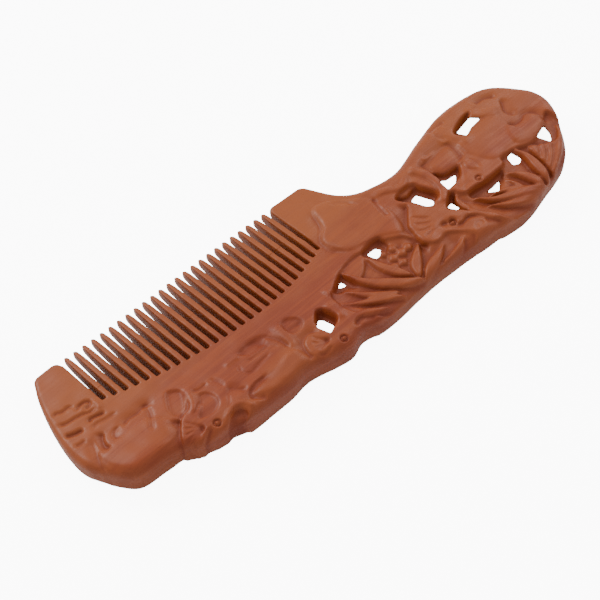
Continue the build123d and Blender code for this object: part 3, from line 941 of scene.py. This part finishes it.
def tooth_row_tree():
    """Repeat one tooth along X and lift each point to the curve that the tips end on."""
    tree = bpy.data.node_groups.new("tooth row", "GeometryNodeTree")
    add_socket(tree, "Tooth", "NodeSocketGeometry")
    add_socket(tree, "Count", "NodeSocketInt", TOOTH_COUNT)
    for name, length in (("Pitch", TOOTH_PITCH * MM), ("Tip Rise", TIP_RISE * MM),
                         ("Row Half", ROW_HALF * MM), ("Middle", DATUM.x),
                         ("Fixed Below", DATUM.y + TOOTH_SPLIT * MM),
                         ("Free Above", DATUM.y + TOOTH_SPLIT / 2 * MM)):
        add_socket(tree, name, "NodeSocketFloat", length, "DISTANCE")
    add_socket(tree, "Wood", "NodeSocketMaterial")
    add_socket(tree, "Teeth", "NodeSocketGeometry", output=True)
    node, link = tree.nodes.new, tree.links.new
    inputs = node("NodeGroupInput").outputs
    steps = maths(tree, "SUBTRACT", inputs["Count"], 1.0)
    first = maths(tree, "MULTIPLY", maths(tree, "MULTIPLY", steps, inputs["Pitch"]), -0.5)
    start, pitch = node("ShaderNodeCombineXYZ"), node("ShaderNodeCombineXYZ")
    link(first, start.inputs["X"])
    link(inputs["Pitch"], pitch.inputs["X"])
    row = node("GeometryNodeMeshLine")
    link(inputs["Count"], row.inputs["Count"])
    link(start.outputs[0], row.inputs["Start Location"])
    link(pitch.outputs[0], row.inputs["Offset"])
    copies = node("GeometryNodeInstanceOnPoints")
    link(row.outputs[0], copies.inputs["Points"])
    link(inputs["Tooth"], copies.inputs["Instance"])
    real = node("GeometryNodeRealizeInstances")
    link(copies.outputs[0], real.inputs[0])
    place = node("ShaderNodeSeparateXYZ")
    link(node("GeometryNodeInputPosition").outputs[0], place.inputs[0])
    across = maths(tree, "SUBTRACT", place.outputs["X"], inputs["Middle"])
    across = maths(tree, "DIVIDE", across, inputs["Row Half"])
    cubed = maths(tree, "MULTIPLY", maths(tree, "MULTIPLY", across, across), across)
    free = node("ShaderNodeMapRange")
    free.interpolation_type = "SMOOTHSTEP"
    link(place.outputs["Y"], free.inputs["Value"])
    link(inputs["Fixed Below"], free.inputs["From Min"])
    link(inputs["Free Above"], free.inputs["From Max"])
    rise = maths(tree, "MULTIPLY", inputs["Tip Rise"], -1.0)
    fall = maths(tree, "MULTIPLY", maths(tree, "MULTIPLY", cubed, free.outputs[0]), rise)
    lift = node("ShaderNodeCombineXYZ")
    link(fall, lift.inputs["Y"])
    moved = node("GeometryNodeSetPosition")
    link(real.outputs[0], moved.inputs["Geometry"])
    link(lift.outputs[0], moved.inputs["Offset"])
    wood = node("GeometryNodeSetMaterial")
    link(moved.outputs[0], wood.inputs["Geometry"])
    link(inputs["Wood"], wood.inputs["Material"])
    link(wood.outputs[0], node("NodeGroupOutput").inputs[0])
    return tree


# ---------------------------------------------------------------- the wood

# Least and most share of the pale streaks, the orange clouds and the pores in the colour
STREAK_SHARES = (0.15, 0.65)
CLOUD_SHARES = (0.0, 0.4)
PORE_SHARES = (0.0, 0.22)

# Depths below the datum, in metres, between which the paler sapwood comes in, and its share
SAPWOOD_DEPTHS = (0.036, 0.010)
SAPWOOD_SHARE = 0.6

# Extra roughness of the hollows where shade is painted, the bump of the grain, and the sheen of
# the oil
SHADED_HOLLOW_DULLNESS = 0.12
BUMP_STRENGTH = 0.25
BUMP_DEPTH = 0.0001
OIL_SHEEN = 0.22


def mixed(tree, factor, a, b):
    """A colour mix; a and b are sockets or colours, factor a socket or number."""
    node = tree.nodes.new("ShaderNodeMix")
    node.data_type = "RGBA"
    for socket, value in ((node.inputs[0], factor), (node.inputs[6], a), (node.inputs[7], b)):
        if isinstance(value, bpy.types.NodeSocket):
            tree.links.new(value, socket)
        else:
            socket.default_value = value
    return node.outputs[2]


def noise_of(tree, coordinate, stretch, scale, detail, roughness=0.55):
    """Noise drawn out by a stretch along each axis."""
    mapping = tree.nodes.new("ShaderNodeMapping")
    mapping.inputs["Scale"].default_value = stretch
    tree.links.new(coordinate, mapping.inputs["Vector"])
    node = tree.nodes.new("ShaderNodeTexNoise")
    node.inputs["Scale"].default_value = scale
    node.inputs["Detail"].default_value = detail
    node.inputs["Roughness"].default_value = roughness
    tree.links.new(mapping.outputs[0], node.inputs["Vector"])
    return node.outputs[0]


def ranged(tree, value, low, high, to_low=0.0, to_high=1.0):
    """Map a value's range to another, clamped and smooth."""
    node = tree.nodes.new("ShaderNodeMapRange")
    node.interpolation_type = "SMOOTHSTEP"
    for name, number in (("From Min", low), ("From Max", high), ("To Min", to_low),
                         ("To Max", to_high)):
        node.inputs[name].default_value = number
    tree.links.new(value, node.inputs["Value"])
    return node.outputs[0]


def grain_group():
    """Long grain along X: streaks, slow cloudiness, fine pores and the height that they make."""
    tree = bpy.data.node_groups.new("long grain", "ShaderNodeTree")
    add_socket(tree, "Vector", "NodeSocketVector")
    for name in ("Streaks", "Clouds", "Pores", "Height"):
        add_socket(tree, name, "NodeSocketFloat", output=True)
    place = tree.nodes.new("NodeGroupInput").outputs["Vector"]
    out = tree.nodes.new("NodeGroupOutput").inputs
    broad = noise_of(tree, place, (0.05, 1.0, 0.7), 420.0, 3.0)
    fine = noise_of(tree, place, (0.03, 1.0, 0.8), 2200.0, 2.0)
    streaks = maths(tree, "ADD", maths(tree, "MULTIPLY", broad, 0.65),
                     maths(tree, "MULTIPLY", fine, 0.35))
    tree.links.new(ranged(tree, streaks, 0.36, 0.64), out["Streaks"])
    clouds = noise_of(tree, place, (0.5, 1.0, 1.0), 55.0, 3.0)
    tree.links.new(ranged(tree, clouds, 0.35, 0.65), out["Clouds"])
    flecks = noise_of(tree, place, (0.09, 1.0, 1.0), 3800.0, 1.0)
    pores = ranged(tree, flecks, 0.64, 0.74)
    tree.links.new(pores, out["Pores"])
    height = maths(tree, "SUBTRACT", maths(tree, "MULTIPLY", fine, 0.6),
                    maths(tree, "MULTIPLY", pores, 0.5))
    tree.links.new(height, out["Height"])
    return tree


def painted_light_group():
    """Masks for shade painted into the hollows and for highlight painted onto raised edges."""
    tree = bpy.data.node_groups.new("hollows and edges", "ShaderNodeTree")
    add_socket(tree, "Hollow", "NodeSocketFloat")
    for name in ("Painted Shade", "Painted Highlight"):
        add_socket(tree, name, "NodeSocketFloat", output=True)
    hollow = tree.nodes.new("NodeGroupInput").outputs["Hollow"]
    out = tree.nodes.new("NodeGroupOutput").inputs
    # Painted shade grows with how far a place lies below what is round it, painted highlight with
    # how far it stands above.
    tree.links.new(ranged(tree, hollow, -0.03, 0.42), out["Painted Shade"])
    tree.links.new(ranged(tree, maths(tree, "MULTIPLY", hollow, -1.0), 0.05, 0.4), out["Painted Highlight"])
    return tree


def hardwood(name, look, grain, painted_light, carved):
    """Red-brown hardwood with a satin surface; on carved pieces, shade is painted into the
    hollows and highlight onto raised edges.
    """
    material = bpy.data.materials.new(name)
    material.use_nodes = True
    tree = material.node_tree
    shader = tree.nodes["Principled BSDF"]
    link = tree.links.new
    place = tree.nodes.new("ShaderNodeTexCoord").outputs["Object"]
    lines = tree.nodes.new("ShaderNodeGroup")
    lines.node_tree = grain
    link(place, lines.inputs["Vector"])
    light, middle, warm, deep = (tuple(colour) + (1.0,) for colour in
                                 (look.light, look.middle, look.warm, look.deep))
    streaks, clouds, pores = (ranged(tree, lines.outputs[name], 0.0, 1.0, *shares)
                              for name, shares in (("Streaks", STREAK_SHARES),
                                                   ("Clouds", CLOUD_SHARES),
                                                   ("Pores", PORE_SHARES)))
    colour = mixed(tree, streaks, middle, light)
    colour = mixed(tree, clouds, colour, warm)
    axes = tree.nodes.new("ShaderNodeSeparateXYZ")
    link(place, axes.inputs[0])
    sapwood = ranged(tree, axes.outputs["Y"], DATUM.y - SAPWOOD_DEPTHS[0],
                     DATUM.y - SAPWOOD_DEPTHS[1], 0.0, SAPWOOD_SHARE)
    colour = mixed(tree, sapwood, colour, warm)
    colour = mixed(tree, pores, colour, deep)
    roughness = ranged(tree, lines.outputs["Streaks"], 0.0, 1.0, look.roughness + 0.06,
                       look.roughness - 0.04)
    # Carved pieces get shade painted into their hollows and highlight painted onto their raised
    # edges, from the hollow measure.
    if carved:
        hollow = tree.nodes.new("ShaderNodeAttribute")
        hollow.attribute_name = "hollow"
        highlighted = tree.nodes.new("ShaderNodeGroup")
        highlighted.node_tree = painted_light
        link(hollow.outputs["Fac"], highlighted.inputs["Hollow"])
        # Painted shade: the hollows are darkened towards the deep colour.
        painted_shade = ranged(tree, highlighted.outputs["Painted Shade"], 0.0, 1.0, 0.0, look.painted_shade)
        colour = mixed(tree, painted_shade, colour, deep)
        # Painted highlight: raised edges are lightened towards the light colour.
        painted_highlight = ranged(tree, highlighted.outputs["Painted Highlight"], 0.0, 1.0, 0.0, look.painted_highlight)
        colour = mixed(tree, painted_highlight, colour, light)
        roughness = maths(tree, "ADD", roughness,
                          maths(tree, "MULTIPLY", highlighted.outputs["Painted Shade"], SHADED_HOLLOW_DULLNESS))
    link(colour, shader.inputs["Base Color"])
    link(roughness, shader.inputs["Roughness"])
    bump = tree.nodes.new("ShaderNodeBump")
    bump.inputs["Strength"].default_value = BUMP_STRENGTH
    bump.inputs["Distance"].default_value = BUMP_DEPTH
    link(lines.outputs["Height"], bump.inputs["Height"])
    link(bump.outputs[0], shader.inputs["Normal"])
    shader.inputs["Specular IOR Level"].default_value = OIL_SHEEN
    return material


def wood_of(kind, carved):
    """The finish of one kind of piece, made once."""
    name = f"{kind} hardwood"
    if name in bpy.data.materials:
        return bpy.data.materials[name]
    grain = bpy.data.node_groups.get("long grain") or grain_group()
    painted_light = bpy.data.node_groups.get("hollows and edges") or painted_light_group()
    return hardwood(name, bpy.context.scene.comb_wood, grain, painted_light, carved)


# ---------------------------------------------------------------- sizes and colours

class COMB_PG_sizes(bpy.types.PropertyGroup):
    """How finely and how roundly the comb is carved."""
    cell: bpy.props.FloatProperty(
        name="Cell", description="Spacing of the carved surface's points",
        default=0.000335, unit="LENGTH", precision=5)
    rim: bpy.props.FloatProperty(
        name="Rim", description="Radius of the rounded outer edge",
        default=0.0032, unit="LENGTH", precision=4)
    waviness: bpy.props.FloatProperty(
        name="Waviness", description="Height of the unevenness that hand tools leave",
        default=0.00005, unit="LENGTH", precision=5)
    pitch: bpy.props.FloatProperty(
        name="Tooth pitch", description="Distance between the middles of two teeth",
        default=TOOTH_PITCH * MM, unit="LENGTH", precision=4)


class COMB_PG_wood(bpy.types.PropertyGroup):
    """The colours and finish of the wood."""
    # Light is also the colour of the highlight painted onto raised edges.
    light: bpy.props.FloatVectorProperty(
        name="Light", description="Colour of the pale streaks and rubbed edges",
        subtype="COLOR", default=(0.225, 0.0435, 0.0112), min=0, max=1)
    middle: bpy.props.FloatVectorProperty(
        name="Middle", description="Colour of most of the wood",
        subtype="COLOR", default=(0.138, 0.0200, 0.0051), min=0, max=1)
    warm: bpy.props.FloatVectorProperty(
        name="Warm", description="Colour of the slow orange clouds in the wood",
        subtype="COLOR", default=(0.23, 0.058, 0.0130), min=0, max=1)
    # Deep is also the colour of the shade painted into the hollows.
    deep: bpy.props.FloatVectorProperty(
        name="Deep", description="Colour of the pores and of the stain in the hollows",
        subtype="COLOR", default=(0.098, 0.0092, 0.0022), min=0, max=1)
    roughness: bpy.props.FloatProperty(
        name="Roughness", description="Roughness of the rubbed surface",
        default=0.46, min=0, max=1)
    # Strength of the shade painted into the hollows.
    painted_shade: bpy.props.FloatProperty(
        name="Painted Shade", description="How strongly the hollows are darkened",
        default=0.5, min=0, max=1)
    # Strength of the highlight painted onto raised edges.
    painted_highlight: bpy.props.FloatProperty(
        name="Painted Highlight", description="How strongly raised edges are lightened",
        default=0.12, min=0, max=1)


class COMB_PG_stage(bpy.types.PropertyGroup):
    """The floor and the light."""
    floor: bpy.props.FloatVectorProperty(
        name="Floor", description="Colour of the floor",
        subtype="COLOR", default=(0.9, 0.9, 0.9), min=0, max=1)
    lamp: bpy.props.FloatProperty(
        name="Lamp", description="Strength of the main soft light",
        default=6.0, unit="POWER")
    sky: bpy.props.FloatProperty(
        name="Sky", description="Strength of the even light from all round",
        default=1.05, min=0)
    glow: bpy.props.FloatProperty(
        name="Glow", description="How far the floor is lit up to a white sweep",
        default=9.0, min=0)


# ---------------------------------------------------------------- operators

PLAN = {}


def plan_of(sizes):
    """The plan of the blank, drawn once for all its regions."""
    if "plan" not in PLAN:
        PLAN["plan"] = Plan(sizes)
    return PLAN["plan"]


def set_in_frame(piece, node):
    """Let a piece stand for the node of its name: hang it under the root body and hide that node.
    """
    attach(piece, "root")
    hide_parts(node)


class RegionCarver:
    """Carves one region of the blank between two planes across the comb."""
    bl_options = {"REGISTER", "UNDO"}
    node = ""
    span = (0.0, 0.0)
    high_y = None

    def execute(self, context):
        plan = plan_of(context.scene.comb_sizes)
        piece = region_mesh(self.node + "_wood", plan, *self.span, self.high_y)
        piece.data.materials.append(wood_of("carved", True))
        set_in_frame(piece, self.node)
        return {"FINISHED"}


class COMB_OT_toe_guard(RegionCarver, bpy.types.Operator):
    """Carve the wide end tooth at the toe and the corner behind it"""
    bl_idname = "comb.toe_guard"
    bl_label = "Toe guard"
    node = "toe_guard"
    span = (PLAN_X[0], -ROW_HALF)


class COMB_OT_back(RegionCarver, bpy.types.Operator):
    """Carve the bar that the teeth stand on, with the feet of the teeth"""
    bl_idname = "comb.back"
    bl_label = "Back"
    node = "back"
    span = (-ROW_HALF, ROW_HALF)
    high_y = TOOTH_SPLIT


class COMB_OT_heel_guard(RegionCarver, bpy.types.Operator):
    """Carve the wide end tooth by the handle and the saddle behind it"""
    bl_idname = "comb.heel_guard"
    bl_label = "Heel guard"
    node = "heel_guard"
    span = (ROW_HALF, NECK_X)


class COMB_OT_handle(RegionCarver, bpy.types.Operator):
    """Carve the pierced handle"""
    bl_idname = "comb.handle"
    bl_label = "Handle"
    node = "handle"
    span = (NECK_X, PLAN_X[1])


class COMB_OT_teeth(bpy.types.Operator):
    """Repeat the tapered tooth along the row"""
    bl_idname = "comb.teeth"
    bl_label = "Teeth"
    bl_options = {"REGISTER", "UNDO"}

    def execute(self, context):
        row = bpy.data.objects.new("tooth_row", tooth_blank())
        context.scene.collection.objects.link(row)
        tree = tooth_row_tree()
        modifier = row.modifiers.new("tooth row", "NODES")
        modifier.node_group = tree
        sockets = {item.name: item.identifier for item in tree.interface.items_tree
                   if item.in_out == "INPUT"}
        modifier[sockets["Pitch"]] = context.scene.comb_sizes.pitch
        modifier[sockets["Wood"]] = wood_of("tooth", False)
        context.view_layer.update()
        evaluated = row.evaluated_get(context.evaluated_depsgraph_get())
        plain = bpy.data.meshes.new_from_object(evaluated)
        row.modifiers.remove(modifier)
        row.data = plain
        set_in_frame(row, "teeth")
        return {"FINISHED"}


# The camera's place in millimetres, the directions of its right, up and back, and its lens
CAMERA_PLACE = (-177.85, -176.67, 320.4)
CAMERA_AXES = ((0.71102, -0.70295, -0.01789), (0.56818, 0.55934, 0.60358),
               (-0.41428, -0.43932, 0.79710))
CAMERA_LENS = 85.75
CAMERA_FILM = 36.0

# Soft lights: name, place, width and share of the main light's power
LAMPS = (("key", (-0.15, 0.6, 0.5), 0.35, 1.0), ("side", (0.5, 0.1, 0.45), 0.4, 0.35))

# The floor reaches this far each way, just under the comb
FLOOR_REACH = 3.0
FLOOR_HEIGHT = -0.0004


def area_lamp(name, place, size, power):
    """A square soft light aimed at the middle of the comb."""
    lamp = bpy.data.lights.new(name, "AREA")
    lamp.shape = "SQUARE"
    lamp.size = size
    lamp.energy = power
    holder = bpy.data.objects.new(name, lamp)
    bpy.context.scene.collection.objects.link(holder)
    holder.location = place
    holder.rotation_euler = (-Vector(place)).to_track_quat("-Z", "Y").to_euler()


class COMB_OT_stage(bpy.types.Operator):
    """Set out the pale floor, the soft light and the camera"""
    bl_idname = "comb.stage"
    bl_label = "Stage"
    bl_options = {"REGISTER", "UNDO"}

    def execute(self, context):
        look = context.scene.comb_stage
        mesh = bpy.data.meshes.new("floor")
        corners = [(x * FLOOR_REACH, y * FLOOR_REACH, FLOOR_HEIGHT)
                   for x, y in ((-1, -1), (1, -1), (1, 1), (-1, 1))]
        mesh.from_pydata(corners, [], [(0, 1, 2, 3)])
        floor = bpy.data.objects.new("floor", mesh)
        context.scene.collection.objects.link(floor)
        paint = bpy.data.materials.new("floor paint")
        paint.use_nodes = True
        shader = paint.node_tree.nodes["Principled BSDF"]
        shader.inputs["Base Color"].default_value = tuple(look.floor) + (1.0,)
        shader.inputs["Roughness"].default_value = 0.9
        shader.inputs["Specular IOR Level"].default_value = 0.1
        shader.inputs["Emission Color"].default_value = (1.0, 1.0, 1.0, 1.0)
        tree = paint.node_tree
        seen = tree.nodes.new("ShaderNodeLightPath").outputs["Is Camera Ray"]
        glow = maths(tree, "MULTIPLY", seen, look.glow)
        tree.links.new(glow, shader.inputs["Emission Strength"])
        mesh.materials.append(paint)
        world = bpy.data.worlds.new("studio")
        world.use_nodes = True
        sky = world.node_tree.nodes["Background"]
        sky.inputs["Color"].default_value = (1.0, 1.0, 1.0, 1.0)
        sky.inputs["Strength"].default_value = look.sky
        context.scene.world = world
        for name, place, size, share in LAMPS:
            area_lamp(name, place, size, look.lamp * share)
        camera = bpy.data.cameras.new("camera")
        camera.lens = CAMERA_LENS
        camera.sensor_width = CAMERA_FILM
        camera.clip_start = 0.01
        holder = bpy.data.objects.new("camera", camera)
        context.scene.collection.objects.link(holder)
        turn = Matrix(CAMERA_AXES).transposed().to_4x4()
        holder.matrix_world = Matrix.Translation(Vector(CAMERA_PLACE) * MM) @ turn
        context.scene.camera = holder
        return {"FINISHED"}


class COMB_PT_panel(bpy.types.Panel):
    """Sidebar panel of the comb"""
    bl_idname = "COMB_PT_panel"
    bl_label = "Carved beard comb"
    bl_space_type = "VIEW_3D"
    bl_region_type = "UI"
    bl_category = "Comb"

    def draw(self, context):
        layout = self.layout
        for group in (context.scene.comb_sizes, context.scene.comb_wood,
                      context.scene.comb_stage):
            box = layout.box()
            for name in group.__annotations__:
                box.prop(group, name)
        for operator in OPERATORS:
            layout.operator(operator.bl_idname)


GROUPS = {"comb_sizes": COMB_PG_sizes, "comb_wood": COMB_PG_wood, "comb_stage": COMB_PG_stage}
OPERATORS = (COMB_OT_stage, COMB_OT_toe_guard, COMB_OT_back, COMB_OT_heel_guard,
             COMB_OT_handle, COMB_OT_teeth)


def register():
    """Make the sizes, operators and panel known to Blender."""
    for name, group in GROUPS.items():
        bpy.utils.register_class(group)
        setattr(bpy.types.Scene, name, bpy.props.PointerProperty(type=group))
    for operator in OPERATORS:
        bpy.utils.register_class(operator)
    bpy.utils.register_class(COMB_PT_panel)


def unregister():
    """Take them away again."""
    bpy.utils.unregister_class(COMB_PT_panel)
    for operator in reversed(OPERATORS):
        bpy.utils.unregister_class(operator)
    for name, group in GROUPS.items():
        delattr(bpy.types.Scene, name)
        bpy.utils.unregister_class(group)


def main():
    """Set the stage and carve every piece."""
    register()
    bpy.ops.comb.stage()
    bpy.ops.comb.toe_guard()
    bpy.ops.comb.back()
    bpy.ops.comb.heel_guard()
    bpy.ops.comb.handle()
    bpy.ops.comb.teeth()


if __name__ == "__main__":
    main()
